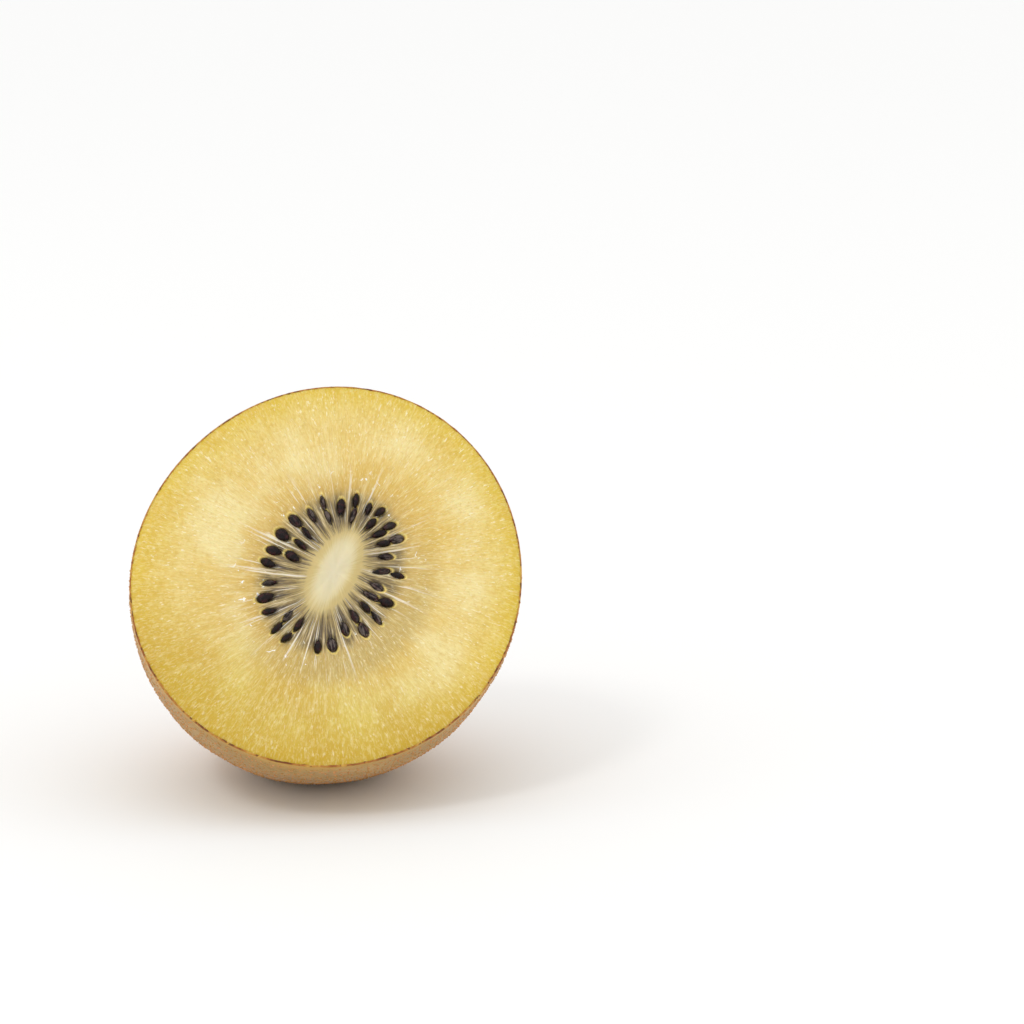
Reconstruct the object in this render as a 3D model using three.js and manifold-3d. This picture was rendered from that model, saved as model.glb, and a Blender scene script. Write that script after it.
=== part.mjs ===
import * as THREE from "three";
import { mergeVertices } from "three/addons/utils/BufferGeometryUtils.js";
import Module from "manifold-3d";

// Half of a golden kiwi fruit, cut across its middle. It lies on a small flat spot of its round
// back, so that the cut face leans up. It grew as one piece: peel, flesh, core and seeds are one solid.
// Sizes are in millimetres. In the fruit's own axes X runs across the cut face, Y up its slope and
// Z straight out of it, and the tip of the fruit is at the far end, down Z.

const radians = THREE.MathUtils.degToRad;
const smoothstep = THREE.MathUtils.smoothstep;
const fullTurn = 2 * Math.PI;

// The whole half
const wideRadius = 27.2; // half the longer diameter of the cut face
const narrowRadius = 25.6; // half the shorter diameter
const wideAxis = radians(57); // where the longer diameter lies, measured from X
const cornerShare = 0.0106; // how much three soft corners swell the outline
const cornerAxis = radians(72);
const halfLength = 38.5; // from the cut face to the tip
const bluntness = 2.15; // exponent of the long profile, where 2 would be an ellipse
const tipShift = new THREE.Vector2(-1.6, 1.1); // the tip is a little off the middle

// How it lies
const faceLean = radians(57); // slope of the cut face above the level
const restPress = 0.5; // how deep the underside is pressed flat

// The tip: a low boss round a dry scar, with the dried styles of the flower
const bossHeight = 0.9;
const bossRadius = 5;
const scarDepth = 1.1;
const scarRadius = 2.4;
const styleCount = 9;
const styleRadius = 0.33;
const styleLength = { least: 2.6, most: 5.4 };

// The cut face: the pale core, the ring of seed chambers round it and the flesh out to the peel
const coreCentre = new THREE.Vector2(0.65, 0.2);
const coreLongRadius = 6.2;
const coreShortRadius = 3.3;
const coreAxis = radians(61);
const coreRise = 0.3;
const chamberCount = 27;
const chamberShare = 0.27; // the chambers take up this share of the way from the core to the peel
const chamberSink = 0.45;
const edgeDrop = 0.35; // the flesh rounds down to the peel's edge
const edgeWidth = 1.4;

// The seeds
const seedLength = 2.35;
const seedWidth = 1.35;
const seedThickness = 1.1;
const coreGap = 1.5; // from the core's edge to the first seed
const pairShare = 0.5; // this share of the chambers shows two seeds
const emptyShare = 0.07; // and this share none
const seedLengths = { least: 0.75, spread: 0.3 }; // shares of the length
const seedWidths = { least: 0.5, spread: 0.65 }; // shares of the width, mostly slim
const chamberJitter = 0.3; // share of a chamber's width that its place can be off
const seedJitter = 0.5; // how far a seed can be off sideways, from one side to the other
const seedTwist = 0.5; // and how much it can be turned, in radians
const seedFloor = -0.12; // height of the highest seed's middle
const seedSink = 0.45; // how much lower the deepest ones lie
const seedDraw = 397057; // start of the random draws

// Fineness of the facets
const sectors = 3 * chamberCount;
const backRings = 14;
const seedSides = 7;
const seedSteps = 5;

const wasm = await Module();
wasm.setup();

// A repeatable stream of random numbers from 0 to 1.
function drawer(start) {
  let state = start;
  return () => {
    state = (state * 16807) % 2147483647;
    return state / 2147483647;
  };
}

// Distance from the fruit's axis to the edge of the cut face.
function outline(angle) {
  const along = narrowRadius * Math.cos(angle - wideAxis);
  const across = wideRadius * Math.sin(angle - wideAxis);
  const oval = (wideRadius * narrowRadius) / Math.hypot(along, across);
  return oval * (1 + cornerShare * Math.cos(3 * (angle - cornerAxis)));
}

function polar(radius, angle) {
  return new THREE.Vector2(radius * Math.cos(angle), radius * Math.sin(angle));
}

// The point of the core's edge that belongs to an angle round the face.
function coreEdge(angle) {
  const turned = angle - coreAxis;
  return new THREE.Vector2(coreLongRadius * Math.cos(turned), coreShortRadius * Math.sin(turned))
    .rotateAround(new THREE.Vector2(), coreAxis)
    .add(coreCentre);
}

// The line of a seed chamber: it leaves the core's edge and heads for the peel.
function chamberLine(angle) {
  const start = coreEdge(angle);
  const toPeel = polar(outline(angle), angle).sub(start);
  return { start, direction: toPeel.clone().normalize(), reach: chamberShare * toPeel.length() };
}

// Height of the cut face. place is 0 at the core's edge, 1 at the peel and below 0 in the core.
function faceHeight(place, angle, toPeel) {
  const core = coreRise * (1 - smoothstep(place, -0.3, 0.02));
  const pastChambers = smoothstep(place, chamberShare - 0.05, chamberShare + 0.07);
  const inChambers = smoothstep(place, 0, 0.05) * (1 - pastChambers);
  const trough = 0.6 - 0.4 * Math.cos(chamberCount * angle);
  const edge = edgeDrop * (1 - smoothstep(toPeel, 0, edgeWidth));
  return core - chamberSink * inChambers * trough - edge;
}

function faceRing(place) {
  const ring = [];
  for (let i = 0; i < sectors; i++) {
    const angle = (i / sectors) * fullTurn;
    const peel = polar(outline(angle), angle);
    const point = coreCentre.clone().lerp(coreEdge(angle), 1 + Math.min(place, 0));
    point.lerp(peel, Math.max(place, 0));
    ring.push(new THREE.Vector3(point.x, point.y, faceHeight(place, angle, peel.distanceTo(point))));
  }
  return ring;
}

// One ring of the round back. turn goes from 0 at the cut face to a quarter turn at the tip.
function backRing(turn) {
  const across = Math.cos(turn) ** (2 / bluntness);
  const down = Math.sin(turn) ** (2 / bluntness);
  const ring = [];
  for (let i = 0; i < sectors; i++) {
    const angle = (i / sectors) * fullTurn;
    const radius = outline(angle) * across;
    const point = polar(radius, angle).addScaledVector(tipShift, down ** 3);
    ring.push(new THREE.Vector3(point.x, point.y, -backDepth(radius, down)));
  }
  return ring;
}

function backDepth(radius, down) {
  const boss = bossHeight * Math.exp(-((radius / bossRadius) ** 2));
  const scar = scarDepth * (1 - smoothstep(radius, 0.5 * scarRadius, scarRadius));
  return edgeDrop + (halfLength - edgeDrop - bossHeight) * down + boss - scar;
}

// A closed surface over rings of points, from a single first point to a single last one.
function closedSurface(first, rings, last) {
  const points = [first, ...rings.flat(), last];
  const end = points.length - 1;
  const at = (ring, i) => 1 + ring * sectors + (i % sectors);
  const faces = [];
  for (let i = 0; i < sectors; i++) {
    faces.push(0, at(0, i), at(0, i + 1));
    for (let ring = 0; ring < rings.length - 1; ring++) {
      faces.push(at(ring, i), at(ring + 1, i), at(ring + 1, i + 1));
      faces.push(at(ring, i), at(ring + 1, i + 1), at(ring, i + 1));
    }
    faces.push(at(rings.length - 1, i), end, at(rings.length - 1, i + 1));
  }
  return new THREE.BufferGeometry().setFromPoints(points).setIndex(faces);
}

function bodyGeometry() {
  const inCore = [-0.66, -0.33, 0];
  const inChambers = [0.05, 0.11, 0.17, 0.22, 0.27, 0.31];
  const inFlesh = [0.36, 0.5, 0.65, 0.8, 0.93, 0.965, 1];
  const face = [...inCore, ...inChambers, ...inFlesh].map(faceRing);
  const back = [];
  for (let ring = 1; ring < backRings; ring++) {
    const left = (1 - ring / backRings) ** 1.6; // closer rings towards the tip
    back.push(backRing((1 - left) * 0.5 * Math.PI));
  }
  const middle = new THREE.Vector3(coreCentre.x, coreCentre.y, coreRise);
  const tip = new THREE.Vector3(tipShift.x, tipShift.y, -backDepth(0, 1));
  return closedSurface(middle, [...face, ...back], tip);
}

// Where the seeds lie: up to two in each chamber, each a little off its even place.
function seedSpots() {
  const draw = drawer(seedDraw);
  const spots = [];
  for (let chamber = 0; chamber < chamberCount; chamber++) {
    const angle = ((chamber + 0.5 + chamberJitter * (draw() - 0.5)) / chamberCount) * fullTurn;
    const { start, direction, reach } = chamberLine(angle);
    const side = polar(1, direction.angle() + 0.5 * Math.PI);
    const pick = draw() - emptyShare;
    const count = pick < 0 ? 0 : pick < pairShare ? 2 : 1;
    const room = (reach - coreGap) / count;
    for (let row = 0; row < count; row++) {
      const length = seedLength * (seedLengths.least + seedLengths.spread * draw());
      const along = coreGap + room * (row + 0.5) + (room - 0.8 * length) * (draw() - 0.5);
      const place = start.clone().addScaledVector(direction, along);
      place.addScaledVector(side, seedJitter * (draw() - 0.5));
      const turn = direction.angle() + seedTwist * (draw() - 0.5);
      const width = seedWidth * (seedWidths.least + seedWidths.spread * draw() ** 1.6);
      const level = seedFloor - seedSink * draw();
      spots.push({ place, turn, length, width, level });
    }
  }
  return spots;
}

// A seed lies along X: rounded at its outer end and pointed at the end towards the core.
function seedGeometry({ place, turn, length, width, level }) {
  const profile = [];
  for (let step = 0; step <= seedSteps; step++) {
    const bend = (step / seedSteps) * Math.PI;
    const taper = 1 - 0.22 * Math.cos(bend);
    profile.push(new THREE.Vector2(0.5 * Math.sin(bend) * taper, -0.5 * Math.cos(bend)));
  }
  profile[0].x = 0;
  profile[seedSteps].x = 0;
  return new THREE.LatheGeometry(profile, seedSides)
    .rotateZ(-0.5 * Math.PI)
    .scale(length, width, seedThickness)
    .rotateZ(turn)
    .translate(place.x, place.y, level);
}

// The dried styles stand in the scar and curl outwards over the boss.
function styleGeometries() {
  const draw = drawer(seedDraw + 1);
  const section = new THREE.Shape(
    [0, 1, 2, 3, 4].map((side) => polar(styleRadius, (side / 5) * fullTurn)),
  );
  const scarFloor = -backDepth(0, 1);
  const styles = [];
  for (let i = 0; i < styleCount; i++) {
    const angle = ((i + 0.6 * draw()) / styleCount) * fullTurn;
    const length = THREE.MathUtils.lerp(styleLength.least, styleLength.most, draw());
    const curl = 1.4 * (draw() - 0.5);
    const lift = 0.5 + 1.1 * draw();
    const at = (radius, sweep, height) => {
      const spot = polar(radius, angle + sweep).add(tipShift);
      return new THREE.Vector3(spot.x, spot.y, scarFloor - height);
    };
    const path = new THREE.CatmullRomCurve3([
      at(0.7, 0, -1),
      at(0.9, 0, scarDepth),
      at(0.5 * length, 0.4 * curl, scarDepth + lift),
      at(length, curl, scarDepth + 0.7 * lift),
    ]);
    styles.push(new THREE.ExtrudeGeometry(section, { steps: 7, bevelEnabled: false, extrudePath: path }));
  }
  return styles;
}

function solidOf(geometry) {
  const bare = geometry.clone();
  bare.deleteAttribute("normal");
  bare.deleteAttribute("uv");
  const merged = mergeVertices(bare, 1e-4);
  const triVerts = new Uint32Array(merged.index.array);
  return new wasm.Manifold(
    new wasm.Mesh({ numProp: 3, vertProperties: merged.attributes.position.array, triVerts }),
  );
}

function geometryOf(solid) {
  const { vertProperties, triVerts } = solid.getMesh();
  const geometry = new THREE.BufferGeometry();
  geometry.setAttribute("position", new THREE.BufferAttribute(vertProperties, 3));
  geometry.setIndex(new THREE.BufferAttribute(triVerts, 1));
  geometry.computeVertexNormals();
  return geometry;
}

// Joins the grown parts into one solid, leans it as it lies and presses the underside flat.
function kiwiHalf() {
  const body = bodyGeometry().rotateX(faceLean);
  body.computeBoundingBox();
  const rise = -body.boundingBox.min.z - restPress;
  body.translate(0, 0, rise);
  let solid = solidOf(body);
  for (const grown of [...seedSpots().map(seedGeometry), ...styleGeometries()]) {
    solid = solid.add(solidOf(grown.rotateX(faceLean).translate(0, 0, rise)));
  }
  const ground = new THREE.BoxGeometry(4 * wideRadius, 4 * wideRadius, 2 * wideRadius);
  solid = solid.subtract(solidOf(ground.translate(0, 0, -wideRadius)));

  const material = new THREE.MeshStandardMaterial({ color: "#e3bd55", roughness: 0.42, metalness: 0 });
  const half = new THREE.Mesh(geometryOf(solid), material);
  half.name = "kiwi_half";
  half.geometry.computeBoundingBox();
  const centre = half.geometry.boundingBox.getCenter(new THREE.Vector3());
  half.position.set(-centre.x, -centre.y, 0);
  return half;
}

const fruit = new THREE.Group();
fruit.add(kiwiHalf());

export default fruit;
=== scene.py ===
import math
from functools import partial

import bmesh
import bpy
import numpy as np
from mathutils import Matrix, Vector, noise


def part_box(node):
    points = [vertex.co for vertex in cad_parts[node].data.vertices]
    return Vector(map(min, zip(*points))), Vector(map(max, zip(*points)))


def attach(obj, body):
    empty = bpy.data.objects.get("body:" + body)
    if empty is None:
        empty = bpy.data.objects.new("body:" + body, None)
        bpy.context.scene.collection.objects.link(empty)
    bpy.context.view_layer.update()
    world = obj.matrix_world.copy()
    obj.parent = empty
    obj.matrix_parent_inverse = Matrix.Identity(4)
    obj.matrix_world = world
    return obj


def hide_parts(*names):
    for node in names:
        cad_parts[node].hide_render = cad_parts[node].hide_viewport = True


# Half of a golden kiwi fruit. Each piece is modelled in the fruit's own axes, in millimetres:
# X across the cut face, Y up its slope, Z straight out of it. layInFrame then puts it in the frame.
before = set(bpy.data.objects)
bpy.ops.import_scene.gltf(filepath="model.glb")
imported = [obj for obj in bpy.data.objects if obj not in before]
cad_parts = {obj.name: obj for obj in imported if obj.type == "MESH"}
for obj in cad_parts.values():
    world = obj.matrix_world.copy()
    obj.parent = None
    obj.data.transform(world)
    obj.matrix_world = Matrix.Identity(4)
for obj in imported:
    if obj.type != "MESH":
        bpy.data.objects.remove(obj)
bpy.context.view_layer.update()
fullTurn = 2 * math.pi

# the half as a whole, the same values as in the part
half = {
    "wideRadius": 27.2,
    "narrowRadius": 25.6,
    "wideAxis": math.radians(57),
    "cornerShare": 0.0106,
    "cornerAxis": math.radians(72),
    "length": 38.5,
    "bluntness": 2.15,
    "tipShift": Vector((-1.6, 1.1, 0)),
    "faceLean": math.radians(57),
    "edgeDrop": 0.35,
    "edgeWidth": 1.4,
    "bossHeight": 0.9,
    "bossRadius": 5,
    "scarDepth": 1.1,
    "scarRadius": 2.4,
    "lumps": ((9.09, 0.22), (2.86, 0.07)),  # their sizes and how high they are, in the scene alone
}
core = {
    "centre": Vector((0.65, 0.2, 0)),
    "longRadius": 6.2,
    "shortRadius": 3.3,
    "axis": math.radians(61),
    "rise": 0.3,
    "paleLong": 6.3,  # where the pale middle fades out
    "paleShort": 2.45,
}
chambers = {
    "count": 27,
    "share": 0.27,  # of the way from the core to the peel
    "fade": 0.07,  # and how much further their outer ends reach
    "jitter": 0.3,  # of a chamber's width, for the seeds in it
    "sink": 0.45,
    "wallShare": 0.8,  # of the sink, that the walls between them stand up
}
seeds = {
    "length": 2.35,
    "width": 1.35,
    "thickness": 1.1,
    "taper": (1.04, 0.3, -0.14),  # how thick in the middle, and how that changes towards the ends
    "coreGap": 1.5,
    "pairShare": 0.5,  # of the chambers show two seeds
    "emptyShare": 0.07,
    "shortest": 0.75,  # of the length
    "longer": 0.3,  # how much longer the longest are
    "thinnest": 0.5,  # of the width
    "plumper": 0.65,
    "aside": 0.5,  # the room in mm in which they stray sideways
    "twist": 0.5,
    "level": -0.12,
    "sink": 0.45,  # how much lower the lowest lie
    "veilFrom": 0.28,  # how low a seed lies that a film of flesh begins to cover
    "veilWhole": 0.4,
    "tintSize": 0.62,  # the sizes of its patterns in mm, that of the film along the seed and round it
    "filmSize": (1.4, 0.29, 0.29),
    "pitSize": 0.2,
    "colours": (
        (0.35, "#080204"),
        (0.50, "#150709"),
        (0.66, "#3A181B"),
    ),
    "draw": 397057,
    "sides": 20,
    "steps": 14,
}


def drawer(start):
    # the same repeatable stream of numbers from 0 to 1 as the part uses
    state = start

    def draw():
        nonlocal state
        state = state * 16807 % 2147483647
        return state / 2147483647

    return draw


def smooth(value, low, high):
    share = min(max((value - low) / (high - low), 0), 1)
    return share * share * (3 - 2 * share)


def polar(radius, angle):
    return Vector((radius * math.cos(angle), radius * math.sin(angle), 0))


def outline(angle):
    along = half["narrowRadius"] * math.cos(angle - half["wideAxis"])
    across = half["wideRadius"] * math.sin(angle - half["wideAxis"])
    oval = half["wideRadius"] * half["narrowRadius"] / math.hypot(along, across)
    return oval * (1 + half["cornerShare"] * math.cos(3 * (angle - half["cornerAxis"])))


def coreEdge(angle):
    turned = angle - core["axis"]
    edge = Vector((core["longRadius"] * math.cos(turned), core["shortRadius"] * math.sin(turned), 0))
    edge.rotate(Matrix.Rotation(core["axis"], 3, "Z"))
    return core["centre"] + edge


def unevenness(point, layers):
    # each layer has a size and a height
    return sum(height * noise.noise(point / size) for size, height in layers)


def backDepth(radius, down):
    boss = half["bossHeight"] * math.exp(-((radius / half["bossRadius"]) ** 2))
    scar = half["scarDepth"] * (1 - smooth(radius, 0.5 * half["scarRadius"], half["scarRadius"]))
    reach = half["length"] - half["edgeDrop"] - half["bossHeight"]
    return half["edgeDrop"] + reach * down + boss - scar


def backPoint(angle, turn, inset=0):
    # a point of the round back: turn is 0 at the cut edge and a quarter turn at the tip
    across = max(math.cos(turn), 0) ** (2 / half["bluntness"])
    down = math.sin(turn) ** (2 / half["bluntness"])
    radius = max(outline(angle) - inset, 0) * across
    point = polar(radius, angle) + half["tipShift"] * down ** 3
    point.z = -backDepth(radius, down) + inset * down
    lump = unevenness(point, half["lumps"]) * smooth(-point.z, 1, 6)  # none right at the cut
    return point + point.normalized() * lump


def backNormal(angle, turn):
    # straight out of the round back, from two short steps along it
    step = 0.01
    around = backPoint(angle + step, turn) - backPoint(angle - step, turn)
    down = backPoint(angle, turn + step) - backPoint(angle, turn - step)
    return down.cross(around).normalized()


# where the half lies in the frame: its cut edge decides how far it is moved
rimPoints = [polar(outline(math.radians(a)), math.radians(a)) for a in range(360)]
rimPoints = [Vector((p.x, p.y, -half["edgeDrop"])) for p in rimPoints]
lean = Matrix.Rotation(half["faceLean"], 4, "X")
leaned = [lean @ p for p in rimPoints]
boxLow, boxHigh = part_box("kiwi_half")
shift = Vector((
    (boxLow.x + boxHigh.x) / 2 - 0.0005 * (min(p.x for p in leaned) + max(p.x for p in leaned)),
    boxLow.y - 0.001 * min(p.y for p in leaned),
    boxHigh.z - 0.001 * max(p.z for p in leaned),
))
toFrame = Matrix.Translation(shift) @ lean @ Matrix.Scale(0.001, 4)


def layInFrame(mesh):
    # moves a mesh from the fruit's axes to the frame and presses it flat where it rests
    mesh.transform(toFrame)
    for vertex in mesh.vertices:
        vertex.co.z = max(vertex.co.z, 0)


def makePiece(name, bm, material):
    bmesh.ops.recalc_face_normals(bm, faces=bm.faces)
    mesh = bpy.data.meshes.new(name)
    bm.to_mesh(mesh)
    bm.free()
    return finishPiece(name, mesh, material)


def finishPiece(name, mesh, material):
    layInFrame(mesh)
    mesh.materials.append(material)
    mesh.shade_smooth()
    piece = bpy.data.objects.new(name, mesh)
    bpy.context.scene.collection.objects.link(piece)
    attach(piece, "root")
    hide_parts("kiwi_half")
    print(name, "has", sum(len(face.vertices) - 2 for face in mesh.polygons), "triangles")
    return piece


def wrapGrid(bm, around, rows, shape):
    # a grid of faces wrapped round into a closed band; shape(vertex, angle, row) puts each point in place
    made = bmesh.ops.create_grid(bm, x_segments=around, y_segments=rows, size=0.5)["verts"]
    for vertex in made:
        column = round((vertex.co.x + 0.5) * around)
        row = round((vertex.co.y + 0.5) * rows)
        shape(vertex, fullTurn * column / around, row)
    bmesh.ops.remove_doubles(bm, verts=made, dist=1e-4)


def sRgb(code):
    # a hex colour turned into Blender's linear values
    values = [int(code[i:i + 2], 16) / 255 for i in (1, 3, 5)]
    linear = [v / 12.92 if v <= 0.04045 else ((v + 0.055) / 1.055) ** 2.4 for v in values]
    return (*linear, 1)


def feed(node, inputs):
    # gives a node's sockets, named or numbered, their values, hex colours or links
    for name, value in inputs.items():
        if isinstance(value, bpy.types.NodeSocket):
            node.id_data.links.new(value, node.inputs[name])
        else:
            node.inputs[name].default_value = sRgb(value) if isinstance(value, str) else value


def addNode(tree, kind, inputs=(), output=0, stops=(), **settings):
    # adds a node and gives back one of its outputs; inputs are a dictionary, or a list in the
    # sockets' order, and stops are the positions and hex colours of a colour ramp
    made = tree.nodes.new("ShaderNode" + kind)
    for name, value in settings.items():
        setattr(made, name, value)
    feed(made, inputs if isinstance(inputs, dict) else dict(enumerate(inputs)))
    for i, (position, colour) in enumerate(stops):
        element = made.color_ramp.elements[i] if i < 2 else made.color_ramp.elements.new(position)
        element.position = position
        element.color = sRgb(colour)
    return made.outputs[output]


def newMaterial(name):
    # a material with its shader, and addNode as it works in this material's own tree
    material = bpy.data.materials.new(name)
    material.use_nodes = True
    tree = material.node_tree
    return material, tree.nodes["Principled BSDF"], partial(addNode, tree)


def layTints(add, colour, *layers):
    # lays tints over a colour, each as strong as the product of what stands behind it: an output, or
    # an output with the two values between which it fades softly, and what it gives at each of them
    # where that isn't 0 and 1
    for tint, *fades in layers:
        amount = 1
        for fade in fades:
            if isinstance(fade, tuple):
                fade = add("MapRange", fade, interpolation_type="SMOOTHSTEP")
            amount = add("Math", [amount, fade], operation="MULTIPLY")
        colour = add("Mix", {0: amount, 6: colour, 7: tint}, output=2, data_type="RGBA")
    return colour


# the seeds' places, drawn in the same order as in the part
def seedSpots():
    draw = drawer(seeds["draw"])
    spots = []
    for chamber in range(chambers["count"]):
        angle = (chamber + 0.5 + chambers["jitter"] * (draw() - 0.5)) / chambers["count"] * fullTurn
        start = coreEdge(angle)
        toPeel = polar(outline(angle), angle) - start
        direction = toPeel.normalized()
        reach = chambers["share"] * toPeel.length
        heading = math.atan2(direction.y, direction.x)
        pick = draw() - seeds["emptyShare"]
        count = 0 if pick < 0 else 2 if pick < seeds["pairShare"] else 1
        for row in range(count):
            room = (reach - seeds["coreGap"]) / count
            length = seeds["length"] * (seeds["shortest"] + seeds["longer"] * draw())
            along = seeds["coreGap"] + room * (row + 0.5) + (room - 0.8 * length) * (draw() - 0.5)
            aside = seeds["aside"] * (draw() - 0.5)
            turn = heading + seeds["twist"] * (draw() - 0.5)
            plump = seeds["thinnest"] + seeds["plumper"] * draw() ** 1.6
            sunk = seeds["sink"] * draw()
            spots.append({
                "place": start + direction * along + polar(aside, heading + 0.5 * math.pi),
                "turn": turn,
                "length": length,
                "width": seeds["width"] * plump,
                "level": seeds["level"] - sunk,
                "veil": smooth(sunk, seeds["veilFrom"], seeds["veilWhole"]),
            })
    return spots


spots = seedSpots()

# The flesh: a closed body whose face has the core, the chambers with their walls and the seeds' hollows
flesh = {
    "sectors": 18 * chambers["count"],
    "coreRings": 20,
    "chamberRings": 62,
    "outerRings": 62,
    "backRings": 20,
    "peelGap": 0.22,  # the flesh ends this far inside the outline
    "seedRows": 0.45,  # the seeds leave no mark further out than this share of the way
    "unevenness": ((1.11, 0.05), (0.435, 0.03)),  # of the cut: sizes and heights
    # what a seed does to the flesh round it: its hollow and the painted bright line of light at its outer
    # end, in shares of the seed's own outline, and the shade at its inner end, in mm
    "seedMarks": {
        "hollowDepth": 0.3,
        "hollowFloor": 0.9,
        "hollowEdge": 1.4,
        "linePlace": 1.26,
        "lineWidth": 0.16,
        "lineStrength": 0.95,
        "shadeWidth": 0.8,
        "shadeLength": 1.7,
        "shadeInwards": 1.1,
        "reach": 4,
    },
    # sizes in mm across the fibres, as half way out, and along them, then detail and roughness
    "fibrePatterns": {
        "ragged": (0.93, 8.3, 4, 0.7),
        "streaks": (0.38, 3.1, 3, 0.65),
        "fine": (0.113, 0.71, 2, 0.5),
        "torn": (0.68, 20, 3, 0.8),
        "strands": (0.38, 5, 3, 0.8),
        "walls": (0.43, 11, 2, 0.6),
        "rays": (1, 3.3, 4, 0.8),
        "cells": (0.155, 0.71, 2, 0.5),
    },
    # sizes in mm, then detail, roughness and distortion
    "evenPatterns": {
        "patches": (9.1, 2, 0.5, 0),
        "net": (0.53, 2, 0.5, 0.6),
        "gaps": (0.91, 2, 0.5, 0),
        "wetGlints": (1.1, 3, 0.6, 0.8),
    },
    # from the core's edge to the peel
    "zoneColours": (
        (0.02, "#D2BB7C"),
        (0.10, "#BDA463"),
        (0.22, "#BFA25A"),
        (0.29, "#D1AC59"),
        (0.40, "#DEB85A"),
        (0.54, "#E5C774"),
        (0.72, "#E6CB79"),
        (0.86, "#E2C560"),
        (0.95, "#DDBE44"),
        (1.00, "#D9B82E"),
    ),
    # from the dark watery strands to the pale ones
    "seedRingColours": (
        (0.30, "#463C30"),
        (0.39, "#75664C"),
        (0.47, "#A08A5A"),
        (0.54, "#C3AD78"),
        (0.63, "#EADDBB"),
    ),
    "coreColours": ((0, "#EFE3C0"), (0.6, "#EADDB2"), (1, "#DCC88C")),
}


def fleshPlaces():
    # where each ring lies: -1 is the middle of the core, 0 its edge, 1 the peel and above 1 the back
    pastChambers = chambers["share"] + chambers["fade"]
    inCore = np.linspace(-1, 0, flesh["coreRings"], endpoint=False)
    inChambers = np.linspace(0, pastChambers, flesh["chamberRings"], endpoint=False)
    outside = np.linspace(pastChambers, 1, flesh["outerRings"], endpoint=False)
    back = np.linspace(1, 2, flesh["backRings"] + 1)
    return [*inCore, *inChambers, *outside, *back]


def faceHeight(place, angle, toPeel):
    # the core stands up softly, the chambers lie lower between their walls, the edge is rounded
    coreLift = core["rise"] * (1 - smooth(place, -0.3, 0.02))
    pastChambers = smooth(place, chambers["share"] - 0.05, chambers["share"] + chambers["fade"])
    inChambers = smooth(place, 0, 0.05) * (1 - pastChambers)
    trough = 1 - chambers["wallShare"] * (0.5 + 0.5 * math.cos(chambers["count"] * angle))
    edge = half["edgeDrop"] * (1 - smooth(toPeel, 0, half["edgeWidth"]))
    return coreLift - chambers["sink"] * inChambers * trough - edge


def seedMarks(point):
    # how deep a point is in a seed's hollow, in its shade and in the painted bright line of light round its
    # outer end
    socket = shade = halo = 0
    around = flesh["seedMarks"]
    for spot in spots:
        away = point - spot["place"]
        if max(abs(away.x), abs(away.y)) > around["reach"]:
            continue
        along = away.x * math.cos(spot["turn"]) + away.y * math.sin(spot["turn"])
        across = away.y * math.cos(spot["turn"]) - away.x * math.sin(spot["turn"])
        ring = math.hypot(2 * along / spot["length"], 2 * across / spot["width"])
        socket = max(socket, 1 - smooth(ring, around["hollowFloor"], around["hollowEdge"]))
        aside = across / around["shadeWidth"]
        inwards = (along + around["shadeInwards"]) / around["shadeLength"]
        shade = max(shade, math.exp(-(aside ** 2) - inwards ** 2))
        outer = smooth(along, 0.1 * spot["length"], 0.4 * spot["length"])
        fromLine = (ring - around["linePlace"]) / around["lineWidth"]
        halo = max(halo, around["lineStrength"] * outer * math.exp(-(fromLine ** 2)))
    return socket, shade, halo


def makeFlesh(material):
    bm = bmesh.new()
    names = ("place", "pith", "shade", "halo", "trough")
    layers = {name: bm.verts.layers.float.new(name) for name in names}
    fibre = bm.verts.layers.float_vector.new("fibre")  # in mm, round the fruit and along the fibres
    halfWayOut = 0.5 * half["narrowRadius"]
    places = fleshPlaces()

    def shape(vertex, angle, row):
        place = places[row]
        peel = polar(outline(angle) - flesh["peelGap"], angle)
        if place > 1:
            # the back keeps clear of the peel, more so at the tip with its scar
            point = backPoint(angle, (place - 1) * 0.5 * math.pi, flesh["peelGap"] + 2.5 * (place - 1) ** 3)
        else:
            point = core["centre"].lerp(coreEdge(angle), 1 + min(place, 0))
            point = point.lerp(peel, max(place, 0))
            point.z = faceHeight(place, angle, (peel - point).length + flesh["peelGap"])
        if 0 < place < flesh["seedRows"]:
            flat = Vector((point.x, point.y, 0))
            socket, shade, halo = seedMarks(flat)
            point.z -= flesh["seedMarks"]["hollowDepth"] * socket
            vertex[layers["shade"]] = shade
            vertex[layers["halo"]] = halo
        if place < 1:
            point.z += unevenness(point, flesh["unevenness"])
        away = point - core["centre"]
        along = away.x * math.cos(core["axis"]) + away.y * math.sin(core["axis"])
        across = away.y * math.cos(core["axis"]) - away.x * math.sin(core["axis"])
        vertex[layers["pith"]] = math.hypot(along / core["paleLong"], across / core["paleShort"])
        vertex[layers["place"]] = place
        vertex[layers["trough"]] = 0.5 - 0.5 * math.cos(chambers["count"] * angle)
        out = max(place, 0) * (peel - coreEdge(angle)).length
        vertex[fibre] = (*polar(halfWayOut, angle).to_2d(), out)
        vertex.co = point

    wrapGrid(bm, flesh["sectors"], len(places) - 1, shape)
    return makePiece("kiwi_flesh", bm, material)


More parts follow.
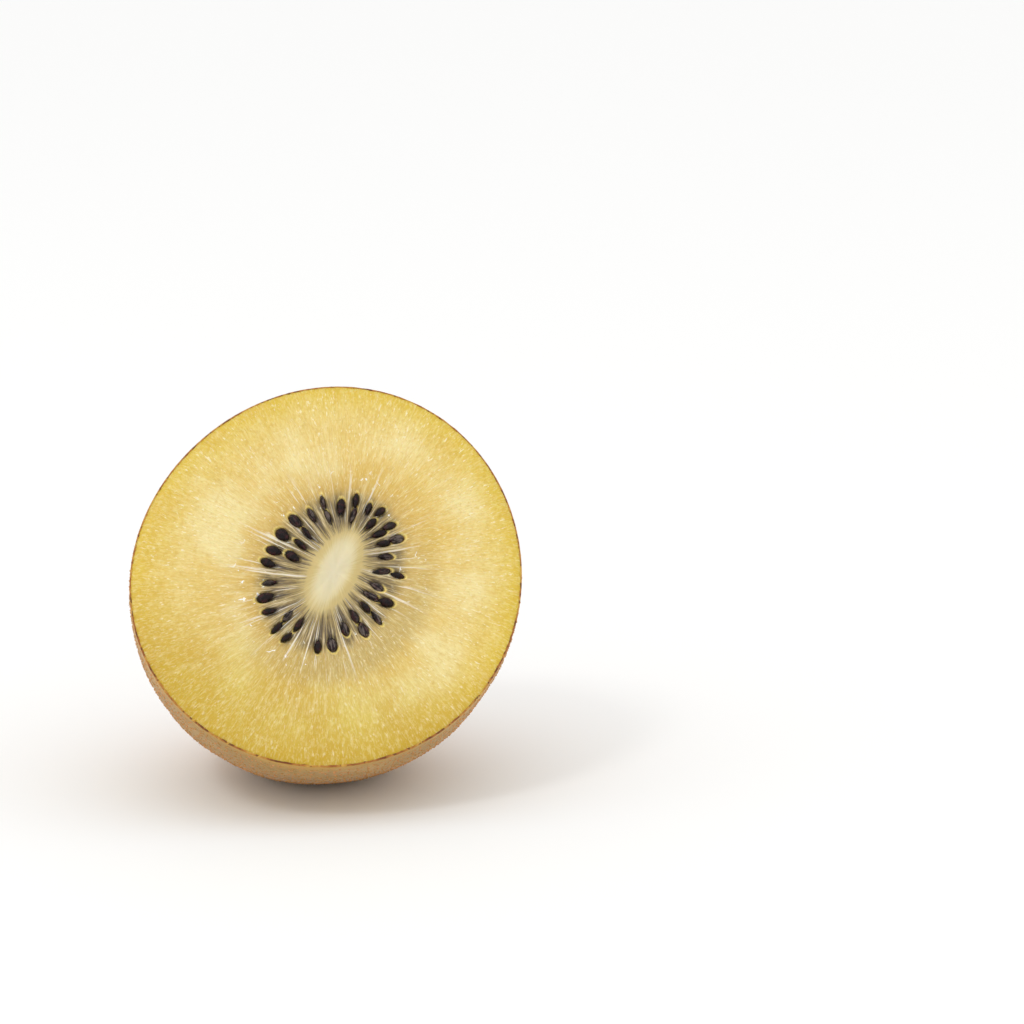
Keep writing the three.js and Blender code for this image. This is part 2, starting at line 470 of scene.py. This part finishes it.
def fleshMaterial():
    # moist ripe flesh: light sinks in a little and comes back yellow, and the wet cut face glints
    material, shader, add = newMaterial("ripe golden flesh")
    names = ("place", "pith", "shade", "halo", "trough")
    place, pith, shade, halo, trough = [add("Attribute", output="Fac", attribute_name=n) for n in names]
    fibre = add("Attribute", output="Vector", attribute_name="fibre")
    where = add("VectorMath", [add("TexCoord", output="Object"), (0.001,) * 3], operation="DIVIDE")  # in mm
    across = add("SeparateXYZ", [where], output="X")
    up = add("SeparateXYZ", [where], output="Z")
    seen = {}
    for name, (width, length, detail, roughness) in flesh["fibrePatterns"].items():
        scaled = add("VectorMath", [fibre, (width, width, length)], operation="DIVIDE")
        inputs = {"Vector": scaled, "Scale": 1, "Detail": detail, "Roughness": roughness}
        seen[name] = add("TexNoise", inputs)
    for name, (size, detail, roughness, distortion) in flesh["evenPatterns"].items():
        inputs = {"Vector": where, "Scale": 1 / size, "Detail": detail, "Roughness": roughness}
        seen[name] = add("TexNoise", {**inputs, "Distortion": distortion})

    # the zones from the core's edge to the peel, with streaky borders
    centred = add("Math", [seen["ragged"], 0.5], operation="SUBTRACT")
    stray = add("MapRange", [place, 0.05, 0.3, 0.34, 0.14], interpolation_type="SMOOTHSTEP")
    zone = add("Math", [centred, stray, place], operation="MULTIPLY_ADD")
    colour = add("ValToRGB", [zone], stops=flesh["zoneColours"])

    # broad pale and deeper patches, and low on the left painted shade that darkens the flesh, together with
    # a deeper yellow there
    inFlesh = (place, 0.25, 0.45)
    offPeel = (place, 0.97, 0.7, 0.05, 1)
    colour = layTints(
        add,
        colour,
        ("#F2E2A4", (seen["patches"], 0.45, 0.68, 0, 0.75), inFlesh, offPeel),
        ("#DAB54A", (seen["patches"], 0.5, 0.32, 0, 0.45), inFlesh),
    )
    lowLeft = add("Math", [across, 0.25, up], operation="MULTIPLY_ADD")
    amount = add("MapRange", [lowLeft, 26, 12], interpolation_type="SMOOTHSTEP")
    inputs = {0: amount, 6: colour, 7: "#E6DD90"}
    colour = add("Mix", inputs, output=2, data_type="RGBA", blend_type="MULTIPLY")

    # the seed ring's colour: dark watery strands and pale ones side by side, from a frayed start
    centred = add("Math", [seen["torn"], 0.5], operation="SUBTRACT")
    started = add("Math", [centred, 0.5, place], operation="MULTIPLY_ADD")
    started = add("MapRange", [started, -0.05, 0.09], interpolation_type="SMOOTHSTEP")
    banded = add("Math", [trough, -0.1, seen["strands"]], operation="MULTIPLY_ADD")
    tone = add("ValToRGB", [banded], stops=flesh["seedRingColours"])

    # the core's colour, smooth and pale, and where it ends in fine rays
    pale = add("ValToRGB", [pith], stops=flesh["coreColours"])
    centred = add("Math", [seen["rays"], 0.5], operation="SUBTRACT")
    coreEnd = add("Math", [centred, 1.3, pith], operation="MULTIPLY_ADD")

    # how far a point is from a line of the fine net that the cut cells draw
    offLine = add("Math", [seen["net"], 0.54], operation="SUBTRACT")
    offLine = add("Math", [offLine], operation="ABSOLUTE")

    lowRight = add("Math", [across, -0.5, up], operation="MULTIPLY_ADD")
    outward = (place, 0.02, 0.3)
    inner = (place, 0.95, 0.5, 0.4, 1)
    netZone = (place, 0.35, 0.75)
    glintZone = [(place, 0.05, 0.4, 0.3, 1), (place, 1, 0.93), (lowLeft, 26, 12, 1, 0.55)]
    colour = layTints(
        add,
        colour,
        # painted shade that dulls the flesh just outside the seeds, mostly below them, together with
        # duller, watery flesh there
        ("#BAA467", (zone, 0.24, 0.3), (zone, 0.56, 0.38), (lowRight, 31, 16, 0.11, 0.75)),
        # fibres that run out from the core, broad ones and fine ones, each pale and deep
        ("#F6E7AE", (seen["streaks"], 0.5, 0.72, 0, 0.45), outward, inner),
        ("#CFA640", (seen["streaks"], 0.5, 0.28, 0, 0.28), outward, inner),
        ("#F6E9AC", (seen["fine"], 0.5, 0.66, 0, 0.26), outward),
        ("#CCA538", (seen["fine"], 0.5, 0.34, 0, 0.2), outward),
        # cut cells: a broken net of pale lines over deeper yellow
        ("#CDA637", (seen["net"], 0.46, 0.3, 0, 0.28), netZone),
        ("#F4E4A0", (offLine, 0.01, 0.07, 0.22, 0), (seen["gaps"], 0.45, 0.6, 0.1, 1), netZone),
        # the seed ring, and the shade beside the seeds
        (tone, started, (place, 0.31, 0.2, 0, 0.85)),
        ("#5B5048", shade, started, (banded, 0.57, 0.35, 0.15, 0.95)),
        # pale walls between the chambers, thin and of uneven strength
        ("#F4EBD8", (seen["walls"], 0.58, 0.66, 0, 0.85), started, (place, 0.55, 0.22)),
        # the yellow line that the light draws round a seed's outer end
        ("#FFE384", halo),
        # the core
        (pale, (coreEnd, 1.2, 0.7)),
        # painted highlights: short bright flecks where wet cells catch the light, fewer low on the left,
        # and a few glints on wet drops
        ("#FFF6D2", (seen["cells"], 0.6, 0.72, 0, 0.6), *glintZone),
        ("#FFFDF5", (seen["wetGlints"], 0.66, 0.7), (place, 0.08, 0.2), (place, 0.5, 0.35)),
    )

    outside = add("MapRange", [place, -0.15, 0.05], interpolation_type="SMOOTHSTEP")
    relief = add("Math", [seen["strands"], outside], operation="MULTIPLY")
    normal = add("Bump", {"Height": relief, "Strength": 0.5, "Distance": 0.0003})
    normal = add("Bump", {"Height": seen["net"], "Strength": 0.3, "Distance": 0.00015, "Normal": normal})
    normal = add("Bump", {"Height": seen["cells"], "Strength": 0.6, "Distance": 0.0002, "Normal": normal})
    feed(shader, {
        "Base Color": colour,
        "Normal": normal,
        "Coat Normal": normal,
        "Roughness": add("MapRange", [seen["cells"], 0.3, 0.7, 0.5, 0.28], interpolation_type="SMOOTHSTEP"),
        "Subsurface Weight": 0.2,
        "Subsurface Radius": (1.0, 0.62, 0.25),
        "Subsurface Scale": 0.0008,
        "Coat Weight": 0.3,
        "Coat Roughness": 0.15,
        "IOR": 1.36,
    })
    return material


# The seeds: a drop shape, rounded outside and pointed towards the core
def makeSeeds(material):
    bm = bmesh.new()
    veil = bm.verts.layers.float.new("veil")
    own = bm.verts.layers.float_vector.new("own")
    middle, slope, bulge = seeds["taper"]
    for number, spot in enumerate(spots):
        made = bmesh.ops.create_uvsphere(bm, u_segments=seeds["sides"], v_segments=seeds["steps"], radius=1)
        turn = Matrix.Rotation(spot["turn"], 3, "Z")
        for vertex in made["verts"]:
            # the ball's poles become the seed's two ends
            along = vertex.co.z
            taper = middle + slope * along + bulge * along * along
            body = Vector((
                0.5 * spot["length"] * along,
                0.5 * spot["width"] * vertex.co.y * taper,
                0.5 * seeds["thickness"] * vertex.co.x * taper,
            ))
            vertex[own] = body + Vector((number * 3, 0, 0))  # no two seeds share their pattern
            vertex[veil] = spot["veil"]
            vertex.co = turn @ body + spot["place"] + Vector((0, 0, spot["level"]))
    return makePiece("kiwi_seeds", bm, material)


def seedMaterial():
    # wet seed coat: nearly black with a wine-red tint, finely pitted, with a small sharp shine
    material, shader, add = newMaterial("wet seed coat")
    own = add("Attribute", output="Vector", attribute_name="own")  # in mm, along the seed and round it
    veil = add("Attribute", output="Fac", attribute_name="veil")
    tint = add("TexNoise", {"Vector": own, "Scale": 1 / seeds["tintSize"], "Detail": 3, "Roughness": 0.6})
    colour = add("ValToRGB", [tint], stops=seeds["colours"])
    scaled = add("VectorMath", [own, seeds["filmSize"]], operation="DIVIDE")
    film = add("TexNoise", {"Vector": scaled, "Scale": 1, "Detail": 2, "Roughness": 0.6})
    pits = add("TexNoise", {"Vector": own, "Scale": 1 / seeds["pitSize"]})
    feed(shader, {
        "Base Color": layTints(add, colour, ("#7A6E66", veil, (film, 0.42, 0.62, 0, 0.6))),
        "Normal": add("Bump", {"Height": pits, "Strength": 0.8, "Distance": 0.0002}),
        "Roughness": 0.24,
        "Specular IOR Level": 0.22,
    })
    return material


# The peel: a thin skin whose cut edge shows as a red-brown line round the face
peel = {
    "sectors": 432,
    "rings": 120,
    "thickness": 0.3,
    "edgeUnevenness": ((0.714, 0.1), (0.25, 0.05)),  # sizes and heights
    # sizes in mm, then detail and roughness
    "patterns": {
        "patches": (7.7, 2, 0.5),
        "mottle": (0.77, 3, 0.6),
        "grain": (0.38, 2, 0.5),
        "border": (17, 2, 0.5),
        "edge": (2.4, 3, 0.7),
        "edgeSpots": (0.67, 1, 0.5),
    },
    "skinColours": (
        (0.32, "#8F6E21"),
        (0.45, "#9C7A29"),
        (0.55, "#A98634"),
        (0.70, "#B8964A"),
    ),
    "edgeColours": (
        (0.36, "#6E351B"),
        (0.45, "#A2602C"),
        (0.55, "#B98038"),
        (0.66, "#D0A54A"),
    ),
}


def makePeel(material):
    bm = bmesh.new()
    rim = bm.verts.layers.float.new("rim")
    depth = bm.verts.layers.float.new("depth")
    # the cut edge in section: how far inside the outline, how far below the face, how much it is edge
    section = [
        (1.1 * peel["thickness"], 1.6, 1),
        (peel["thickness"], 0.42, 1),
        (0.85 * peel["thickness"], 0.33, 1),
        (0.5 * peel["thickness"], 0.31, 1),
        (0.2 * peel["thickness"], 0.36, 1),
        (0.02 * peel["thickness"], 0.45, 0.6),
        (0, 0.56, 0),
    ]

    def shape(vertex, angle, row):
        if row < len(section):
            inset, drop, share = section[row]
            point = polar(outline(angle) - inset, angle)
            point.z = unevenness(point, peel["edgeUnevenness"]) - drop
        else:
            # the rings lie closer towards the tip
            left = 1 - (row - len(section) + 1) / peel["rings"]
            point = backPoint(angle, (1 - left ** 1.35) * 0.5 * math.pi)
            share = 0
        vertex[rim] = share
        vertex[depth] = -point.z / half["length"]
        vertex.co = point

    wrapGrid(bm, peel["sectors"], len(section) + peel["rings"] - 1, shape)
    return makePiece("kiwi_peel", bm, material)


def peelMaterial():
    # thin dull skin: golden olive under a tan bloom, with a trace of fuzz that lightens its edges
    material, shader, add = newMaterial("olive brown peel")
    where = add("VectorMath", [add("TexCoord", output="Object"), (0.001,) * 3], operation="DIVIDE")  # in mm
    depth = add("Attribute", output="Fac", attribute_name="depth")
    rim = add("Attribute", output="Fac", attribute_name="rim")
    seen = {}
    for name, (size, detail, roughness) in peel["patterns"].items():
        inputs = {"Vector": where, "Scale": 1 / size, "Detail": detail, "Roughness": roughness}
        seen[name] = add("TexNoise", inputs)
    halfPatches = add("Math", [seen["patches"], 0.5], operation="MULTIPLY")
    mixed = add("Math", [seen["mottle"], 0.5, halfPatches], operation="MULTIPLY_ADD")
    colour = add("ValToRGB", [mixed], stops=peel["skinColours"])
    edge = add("ValToRGB", [seen["edge"]], stops=peel["edgeColours"])
    edge = layTints(add, edge, ("#5E2A1A", (seen["edgeSpots"], 0.56, 0.64, 0, 0.85)))

    # how far the flesh shines through below the cut, with a ragged end
    border = depth
    for pattern, stray in ((seen["border"], 0.14), (seen["mottle"], 0.1)):
        centred = add("Math", [pattern, 0.5], operation="SUBTRACT")
        border = add("Math", [centred, stray, border], operation="MULTIPLY_ADD")
    colour = layTints(
        add,
        colour,
        # tan towards the tip, with the scar and a fine dark grain
        ("#C99A66", (depth, 0.45, 1, 0, 0.75)),
        ("#8A623E", (depth, 0.96, 0.985, 0, 0.5)),
        ("#7A5726", (seen["grain"], 0.58, 0.7, 0, 0.3)),
        ("#C2941A", (border, -0.01, 0.08, 0.9, 0)),
        # the cut edge itself with its dark spots
        (edge, (rim, 0, 1, 0, 0.95)),
    )
    normal = add("Bump", {"Height": seen["mottle"], "Strength": 0.4, "Distance": 0.0003})
    normal = add("Bump", {"Height": seen["grain"], "Strength": 0.4, "Distance": 0.00012, "Normal": normal})
    feed(shader, {
        "Base Color": colour,
        "Normal": normal,
        "Roughness": 0.7,
        "Sheen Weight": 0.5,
        "Sheen Roughness": 0.4,
        "Sheen Tint": "#F3D8CA",
        "Specular IOR Level": 0.35,
    })
    return material


def scatter(name, template, matrices, values, material):
    # many copies of one small mesh joined into a piece; each copy carries its own value as "tint"
    # and how far each point is raised, from 0 at its foot to 1 at its top
    bm = bmesh.new()
    for matrix in matrices:
        moved = template.copy()
        moved.transform(matrix)
        bm.from_mesh(moved)
        bpy.data.meshes.remove(moved)
    mesh = bpy.data.meshes.new(name)
    bm.to_mesh(mesh)
    bm.free()
    heights = np.array([v.co.z for v in template.vertices])
    raised = (heights - heights.min()) / np.ptp(heights)
    layers = {"tint": np.repeat(values, len(heights)), "raised": np.tile(raised, len(matrices))}
    for layerName, layerValues in layers.items():
        layer = mesh.attributes.new(layerName, "FLOAT", "POINT")
        layer.data.foreach_set("value", layerValues.astype(np.float32))
    return finishPiece(name, mesh, material)


def backSpots(count, draw, wander, crowding=0):
    # even places on the round back, on a spiral whose steps cover equal areas, or smaller ones
    # towards the tip where they crowd; each place then strays by up to half the wander in mm
    turns = np.linspace(0.02, 0.5 * math.pi - 0.06, 200)  # from just below the cut edge to the scar
    rings = [backPoint(0, t) for t in turns]
    lengths = [0] + [(b - a).length for a, b in zip(rings, rings[1:])]
    crowds = [1 + crowding * smooth(t, 0.7, 1.4) for t in turns]
    area = np.cumsum([p.to_2d().length * step * crowd for p, step, crowd in zip(rings, lengths, crowds)])
    goldenAngle = math.pi * (3 - math.sqrt(5))
    radii = [p.to_2d().length for p in rings]
    for i in range(count):
        turn = float(np.interp((i + 0.5) / count * area[-1], area, turns))
        angle = i * goldenAngle + wander * (draw() - 0.5) / float(np.interp(turn, turns, radii))
        turn += wander * (draw() - 0.5) / half["length"]
        yield angle % fullTurn, min(max(turn, turns[0]), turns[-1])


# The small raised dots of the peel
dots = {
    "count": 13000,
    "radius": 0.28,
    "height": 0.2,
    "sides": 5,
    "topShare": 0.62,  # of the radius
    "wander": 0.9,
    "crowding": 1.5,
    "draw": 911,
    "patternSize": 0.56,
    "colours": (
        (0.0, "#BA8A46"),
        (0.3, "#D0985A"),
        (0.8, "#E0A572"),
        (1.0, "#D68E58"),
    ),
}


def dotTemplate():
    bm = bmesh.new()
    sides = dots["sides"]
    bmesh.ops.create_cone(bm, segments=sides, radius1=1, radius2=dots["topShare"], depth=0.7, cap_ends=True)
    top = max(bm.faces, key=lambda face: face.calc_center_median().z)
    bottom = min(bm.faces, key=lambda face: face.calc_center_median().z)
    bmesh.ops.delete(bm, geom=[bottom], context="FACES_ONLY")
    middle = bmesh.ops.poke(bm, faces=[top])["verts"]
    middle[0].co.z += 0.25
    bmesh.ops.triangulate(bm, faces=bm.faces)
    mesh = bpy.data.meshes.new("dot")
    bm.to_mesh(mesh)
    bm.free()
    return mesh


def makeDots(material):
    draw = drawer(dots["draw"])
    matrices = []
    tints = []
    for angle, turn in backSpots(dots["count"], draw, dots["wander"], dots["crowding"]):
        normal = backNormal(angle, turn)
        # mostly small ones, and smaller still near the cut
        size = dots["radius"] * (0.5 + 0.8 * draw() ** 1.3) * (0.6 + 0.4 * smooth(turn, 0.15, 0.5))
        long = 1 + 0.5 * draw()
        scale = Matrix.Diagonal((size * long, size, dots["height"] * (0.6 + 0.8 * draw()), 1))
        turnRound = Matrix.Rotation(fullTurn * draw(), 4, "Z")
        upright = normal.to_track_quat("Z", "Y").to_matrix().to_4x4()
        matrices.append(Matrix.Translation(backPoint(angle, turn)) @ upright @ turnRound @ scale)
        tints.append(draw())
    return scatter("peel_dots", dotTemplate(), matrices, tints, material)


def dotMaterial():
    # dry corky dots, more orange than the skin round them, with painted shade that darkens their foot
    material, shader, add = newMaterial("tan corky dots")
    tint = add("Attribute", output="Fac", attribute_name="tint")
    raised = add("Attribute", output="Fac", attribute_name="raised")
    colour = add("ValToRGB", [tint], stops=dots["colours"])
    where = add("TexCoord", output="Object")
    uneven = add("TexNoise", {"Vector": where, "Scale": 1000 / dots["patternSize"]})
    colour = layTints(
        add,
        colour,
        ("#9C7440", (uneven, 0.4, 0.6, 0, 0.3)),
        # painted shade at each dot's foot
        ("#8F6A2B", (raised, 0.75, 0.1, 0, 0.85)),
    )
    feed(shader, {"Base Color": colour, "Roughness": 0.7, "Specular IOR Level": 0.3})
    return material


# The short fuzz that roughens the peel's outline
fuzz = {
    "count": 5000,
    "length": 0.34,
    "radius": 0.022,
    "wander": 3,
    "draw": 1234,
    "colours": ((0, "#9A7B4E"), (1, "#CDB184")),
}


def makeFuzz(material):
    bm = bmesh.new()
    bmesh.ops.create_cone(bm, segments=3, radius1=1, radius2=0, depth=1, cap_ends=False)
    bmesh.ops.translate(bm, verts=bm.verts, vec=(0, 0, 0.4))
    template = bpy.data.meshes.new("hair")
    bm.to_mesh(template)
    bm.free()
    draw = drawer(fuzz["draw"])
    matrices = []
    tints = []
    for angle, turn in backSpots(fuzz["count"], draw, fuzz["wander"]):
        normal = backNormal(angle, turn)
        leaning = Vector((draw() - 0.5, draw() - 0.5, draw() - 0.9))  # mostly towards the tip
        upright = (normal + 1.1 * leaning).to_track_quat("Z", "Y").to_matrix().to_4x4()
        length = fuzz["length"] * (0.4 + 1.0 * draw() ** 2)
        scale = Matrix.Diagonal((fuzz["radius"], fuzz["radius"], length, 1))
        matrices.append(Matrix.Translation(backPoint(angle, turn)) @ upright @ scale)
        tints.append(draw())
    return scatter("peel_fuzz", template, matrices, tints, material)


def fuzzMaterial():
    # dry light brown hairs
    material, shader, add = newMaterial("light brown fuzz")
    tint = add("Attribute", output="Fac", attribute_name="tint")
    colour = add("ValToRGB", [tint], stops=fuzz["colours"])
    feed(shader, {"Base Color": colour, "Roughness": 0.8})
    return material


# The dried styles of the flower, curled over the scar at the tip
styles = {
    "count": 9,
    "radius": 0.12,
    "bend": 0.9,
    "bendDraw": 7,
    "least": 2.6,
    "most": 5.4,
    "jitter": 0.6,
    "curl": 1.4,
    "knots": ((0.455, 0.25),),  # their size and how much thicker they make it
    "leastLift": 0.5,
    "moreLift": 1.1,
    "sides": 8,
    "steps": 26,
    "patternSize": 1.4,
    "colours": (
        (0.35, "#2B1B12"),
        (0.55, "#4A3122"),
        (0.70, "#75543A"),
    ),
}


def bezier(points, share):
    # a smooth path from the first to the last of its four guide points
    a, b, c, d = points
    rest = 1 - share
    return a * rest ** 3 + b * 3 * rest ** 2 * share + c * 3 * rest * share ** 2 + d * share ** 3


def makeStyles(material):
    bm = bmesh.new()
    draw = drawer(seeds["draw"] + 1)
    noise.seed_set(styles["bendDraw"])  # where noise_vector starts from, otherwise the time of day
    scarFloor = -backDepth(0, 1)
    for i in range(styles["count"]):
        angle = (i + styles["jitter"] * draw()) / styles["count"] * fullTurn
        length = styles["least"] + (styles["most"] - styles["least"]) * draw()
        curl = styles["curl"] * (draw() - 0.5)
        lift = styles["leastLift"] + styles["moreLift"] * draw()
        guides = []  # each is so far from the middle, so far round and so far out of the scar's floor
        for radius, sweep, height in (
            (0.7, 0, -0.6),
            (0.8, 0, half["scarDepth"] + 0.9 * lift),
            (0.7 * length, 0.5 * curl, half["scarDepth"] + 1.9 * lift),
            (length, curl, half["scarDepth"] + 0.3 * lift),
        ):
            guide = polar(radius, angle + sweep) + half["tipShift"]
            guides.append(guide + Vector((0, 0, scarFloor - height)))

        def shape(vertex, turn, row):
            share = row / styles["steps"]
            middle = bezier(guides, share)
            bends = noise.noise_vector(Vector((3.5 * share, 9 * i, 0)))
            middle += bends * styles["bend"] * smooth(share, 0.1, 0.8)
            ahead = bezier(guides, min(share + 0.01, 1)) - bezier(guides, max(share - 0.01, 0))
            ahead.normalize()
            side = ahead.cross(Vector((0, 0, 1))).normalized()
            other = side.cross(ahead)
            thick = styles["radius"] * (1.15 - 0.75 * share) * (1 + unevenness(middle, styles["knots"]))
            if row in (0, styles["steps"]):
                thick *= 0.05
            vertex.co = middle + side * thick * math.cos(turn) + other * thick * 0.7 * math.sin(turn)

        wrapGrid(bm, styles["sides"], styles["steps"], shape)
    return makePiece("dried_styles", bm, material)


def styleMaterial():
    # dead plant fibre, dull and dark with a few lighter stretches
    material, shader, add = newMaterial("dried flower styles")
    where = add("TexCoord", output="Object")
    scale = 1000 / styles["patternSize"]
    shades = add("TexNoise", {"Vector": where, "Scale": scale, "Detail": 3, "Roughness": 0.6})
    colour = add("ValToRGB", [shades], stops=styles["colours"])
    feed(shader, {
        "Base Color": colour,
        "Normal": add("Bump", {"Height": shades, "Strength": 0.5, "Distance": 0.0001}),
        "Roughness": 0.8,
    })
    return material


makeFlesh(fleshMaterial())
makeSeeds(seedMaterial())
makePeel(peelMaterial())
makeDots(dotMaterial())
makeFuzz(fuzzMaterial())
makeStyles(styleMaterial())

# The setting: a pale floor, one soft light and an even white surround
setting = {
    "floorSize": 14,
    "floorGap": 0.00003,
    "floorColour": "#FAFAF9",
    "skyTop": 1.02,
    "skyHorizon": 0.96,
    "keyPower": 1.0,
    "keySize": 0.18,
    "keyPlace": Vector((-0.45, -0.4, 0.75)),
}


def makeFloor():
    bm = bmesh.new()
    bmesh.ops.create_grid(bm, x_segments=1, y_segments=1, size=setting["floorSize"] / 2)
    bmesh.ops.translate(bm, verts=bm.verts, vec=(0, 0, -setting["floorGap"]))
    mesh = bpy.data.meshes.new("floor")
    bm.to_mesh(mesh)
    bm.free()
    material, shader, add = newMaterial("matt white table")
    feed(shader, {"Base Color": setting["floorColour"], "Roughness": 0.85})
    mesh.materials.append(material)
    floor = bpy.data.objects.new("floor", mesh)
    bpy.context.scene.collection.objects.link(floor)


def makeLight(target):
    light = bpy.data.lights.new("key", "AREA")
    light.energy = setting["keyPower"]
    light.size = setting["keySize"]
    lamp = bpy.data.objects.new("key", light)
    lamp.location = setting["keyPlace"]
    lamp.rotation_mode = "QUATERNION"
    lamp.rotation_quaternion = (target - setting["keyPlace"]).to_track_quat("-Z", "Y")
    bpy.context.scene.collection.objects.link(lamp)


def makeSky():
    # an even white surround, a little brighter overhead
    world = bpy.data.worlds.new("white surround")
    bpy.context.scene.world = world
    world.use_nodes = True
    tree = world.node_tree
    direction = addNode(tree, "TexCoord", output="Generated")
    height = addNode(tree, "SeparateXYZ", [direction], output="Z")
    inputs = [height, 0, 0.9, setting["skyHorizon"], setting["skyTop"]]
    strength = addNode(tree, "MapRange", inputs, interpolation_type="SMOOTHSTEP")
    feed(tree.nodes["Background"], {"Color": "#FFFFFF", "Strength": strength})


makeFloor()
faceMiddle = toFrame @ Vector((0, 0, 0))
makeLight(faceMiddle)
makeSky()
bpy.context.scene.view_settings.view_transform = "Standard"
print("the floor, the light and the sky are set")

# The camera stands a little to the left and above, where the photograph was taken from
camera = {
    "azimuth": math.radians(-3.9),
    "elevation": math.radians(13.7),
    "distance": 0.406,  # to the middle of the cut face
    "pixelsPerMetre": 7530,  # at the cut face, in a frame of 1024 pixels
    "frame": 1024,
    "sensorWidth": 36,
    "facePixel": (328.3, 570.4),  # where the middle of the cut face is seen
}


def makeCamera():
    azimuth = camera["azimuth"]
    elevation = camera["elevation"]
    back = Vector((
        math.sin(azimuth) * math.cos(elevation),
        -math.cos(azimuth) * math.cos(elevation),
        math.sin(elevation),
    ))
    right = Vector((math.cos(azimuth), math.sin(azimuth), 0))
    up = back.cross(right)
    aside = (camera["frame"] / 2 - camera["facePixel"][0]) / camera["pixelsPerMetre"]
    above = (camera["facePixel"][1] - camera["frame"] / 2) / camera["pixelsPerMetre"]
    target = faceMiddle + right * aside + up * above
    lens = bpy.data.cameras.new("camera")
    lens.sensor_width = camera["sensorWidth"]
    lens.lens = camera["sensorWidth"] * camera["pixelsPerMetre"] * camera["distance"] / camera["frame"]
    lens.clip_start = 0.01
    lens.clip_end = 100
    body = bpy.data.objects.new("camera", lens)
    body.location = faceMiddle + back * camera["distance"]
    body.rotation_mode = "QUATERNION"
    body.rotation_quaternion = (target - body.location).to_track_quat("-Z", "Y")
    bpy.context.scene.collection.objects.link(body)
    bpy.context.scene.camera = body


makeCamera()
print("the camera is set")
